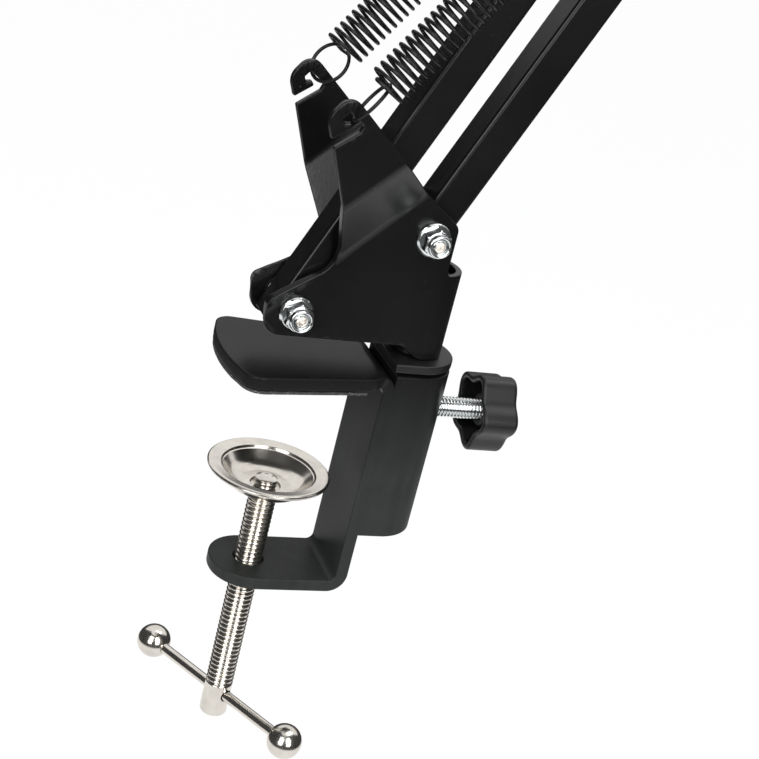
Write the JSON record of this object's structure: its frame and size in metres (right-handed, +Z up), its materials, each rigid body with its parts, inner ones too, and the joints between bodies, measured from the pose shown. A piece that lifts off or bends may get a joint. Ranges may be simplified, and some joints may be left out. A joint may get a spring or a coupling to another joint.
{
  "type": "desktop microphone stand",
  "caption": "Desk-clamp microphone stand: C-clamp with a screw and pressure disc, a swivelling folded bracket, and a spring-balanced folding arm of square bars with a tilting thread.",
  "frame": {"origin": "middle of the jaw pad's underside, on the clamp screw's axis, where the clamp rests on the desk", "axes": "+X from the open jaws to the clamp's upright, +Y from the nut side to the bolt-head side, +Z up along the clamp screw"},
  "size_m": [0.354, 0.0584, 0.6564],
  "materials": {
    "black_powder_coat": "satin black powder coat with a fine grain",
    "nickel": "bright warm nickel plate",
    "bright_zinc": "bluish bright zinc plate",
    "black_plastic": "satin moulded black plastic",
    "grip_pad": "matt black pad with pale specks",
    "spring_wire": "blackened spring steel wire, semi-gloss",
    "nylon": "natural nylon"
  },
  "bodies": {
    "clamp": {"clamp_frame": "black_powder_coat", "post_socket": "black_powder_coat", "socket_bush": "black_plastic", "jaw_pad": "grip_pad"},
    "disc": {"pressure_disc": "nickel"},
    "screw": {"clamp_screw": "nickel"},
    "tommy": {"tommy_bar": "nickel", "tommy_ball_near": "nickel", "tommy_ball_far": "nickel"},
    "lock": {"lock_bolt": "bright_zinc", "lock_knob": "black_plastic"},
    "base": {"base_bracket": "black_powder_coat", "base_post": "bright_zinc", "lower_spring_near": "spring_wire", "lower_spring_far": "spring_wire", "base_front_bolt": "bright_zinc", "base_front_nut": "bright_zinc", "base_front_bush": "nylon", "base_rear_bolt": "bright_zinc", "base_rear_nut": "bright_zinc", "base_rear_bush": "nylon"},
    "lower_front": {"lower_bar_front": "black_powder_coat"},
    "lower_rear": {"lower_bar_rear": "black_powder_coat", "lower_spring_pin": "bright_zinc"},
    "elbow": {"elbow_plate_near": "black_powder_coat", "elbow_plate_far": "black_powder_coat", "elbow_spring_pin": "bright_zinc", "upper_spring_near": "spring_wire", "upper_spring_far": "spring_wire", "elbow_front_bolt": "bright_zinc", "elbow_front_nut": "bright_zinc", "elbow_front_bush": "nylon", "elbow_rear_bolt": "bright_zinc", "elbow_rear_nut": "bright_zinc", "elbow_rear_bush": "nylon", "elbow_low_bolt": "bright_zinc", "elbow_low_nut": "bright_zinc", "elbow_low_bush": "nylon", "elbow_high_bolt": "bright_zinc", "elbow_high_nut": "bright_zinc", "elbow_high_bush": "nylon"},
    "upper_lower": {"upper_bar_lower": "black_powder_coat", "upper_spring_pin": "bright_zinc"},
    "upper_upper": {"upper_bar_upper": "black_powder_coat"},
    "head": {"head_plate_near": "black_powder_coat", "head_plate_far": "black_powder_coat", "tilt_bolt": "bright_zinc", "head_low_bolt": "bright_zinc", "head_low_nut": "bright_zinc", "head_low_bush": "nylon", "head_high_bolt": "bright_zinc", "head_high_nut": "bright_zinc", "head_high_bush": "nylon"},
    "tilter": {"tilt_block": "black_powder_coat", "mic_stud": "bright_zinc", "thread_adapter": "bright_zinc"},
    "tilt_handle": {"tilt_knob": "black_plastic"}
  },
  "joints": [
    {"name": "clamp_screw_turn", "type": "hinge", "parent": "disc", "child": "screw", "pos_m": [0, 0, -0.1114], "axis": [0, 0, 1], "range_deg": [-5281, 7143]},
    {"name": "disc_travel", "type": "slide", "parent": "clamp", "child": "disc", "axis": [0, 0, 1], "range_m": [-0.0208, 0.0281]},
    {"name": "tommy_slide", "type": "slide", "parent": "screw", "child": "tommy", "axis": [0.4939, -0.8695, 0], "range_m": [-0.0185, 0.0185]},
    {"name": "lock_turn", "type": "hinge", "parent": "clamp", "child": "lock", "pos_m": [0.0322, 0, -0.0087], "axis": [1, 0, 0], "range_deg": [-30, 180]},
    {"name": "base_swivel", "type": "hinge", "parent": "clamp", "child": "base", "pos_m": [0.0322, 0, 0.0045], "axis": [0, 0, 1], "continuous": true},
    {"name": "lower_arm", "type": "hinge", "parent": "base", "child": "lower_front", "pos_m": [-0.0054, 0, 0.0184], "axis": [0, 1, 0], "range_deg": [-64, 13.5], "deforming": ["lower_spring_near", "lower_spring_far"]},
    {"name": "lower_arm_rear", "type": "hinge", "parent": "base", "child": "lower_rear", "pos_m": [0.0268, 0, 0.0424], "axis": [0, 1, 0], "range_deg": [-64.5, 14]},
    {"name": "elbow_level", "type": "hinge", "parent": "lower_front", "child": "elbow", "pos_m": [0.12882, 0, 0.31987], "axis": [0, 1, 0], "range_deg": [-14, 64.5]},
    {"name": "upper_arm", "type": "hinge", "parent": "elbow", "child": "upper_lower", "pos_m": [0.13882, 0, 0.35387], "axis": [0, 1, 0], "range_deg": [-43, 42], "deforming": ["upper_spring_near", "upper_spring_far"]},
    {"name": "upper_arm_upper", "type": "hinge", "parent": "elbow", "child": "upper_upper", "pos_m": [0.14482, 0, 0.37387], "axis": [0, 1, 0], "range_deg": [-43.5, 42.5]},
    {"name": "head_level", "type": "hinge", "parent": "upper_lower", "child": "head", "pos_m": [-0.15255, 0, 0.5088], "axis": [0, 1, 0], "range_deg": [-42.5, 43.5]},
    {"name": "mic_tilt", "type": "hinge", "parent": "head", "child": "tilter", "pos_m": [-0.17655, 0, 0.5148], "axis": [0, 1, 0], "range_deg": [-110, 8]},
    {"name": "tilt_knob_turn", "type": "hinge", "parent": "head", "child": "tilt_handle", "pos_m": [-0.17655, 0, 0.5148], "axis": [0, 1, 0], "range_deg": [-180, 30]}
  ],
  "couplings": [
    {"joint": "disc_travel", "follows": "clamp_screw_turn", "m_per_rad": 0.00022457},
    {"joint": "lower_arm_rear", "follows": "lower_arm", "ratio": 1},
    {"joint": "elbow_level", "follows": "lower_arm", "ratio": -1},
    {"joint": "upper_arm_upper", "follows": "upper_arm", "ratio": 1},
    {"joint": "head_level", "follows": "upper_arm", "ratio": -1}
  ]
}
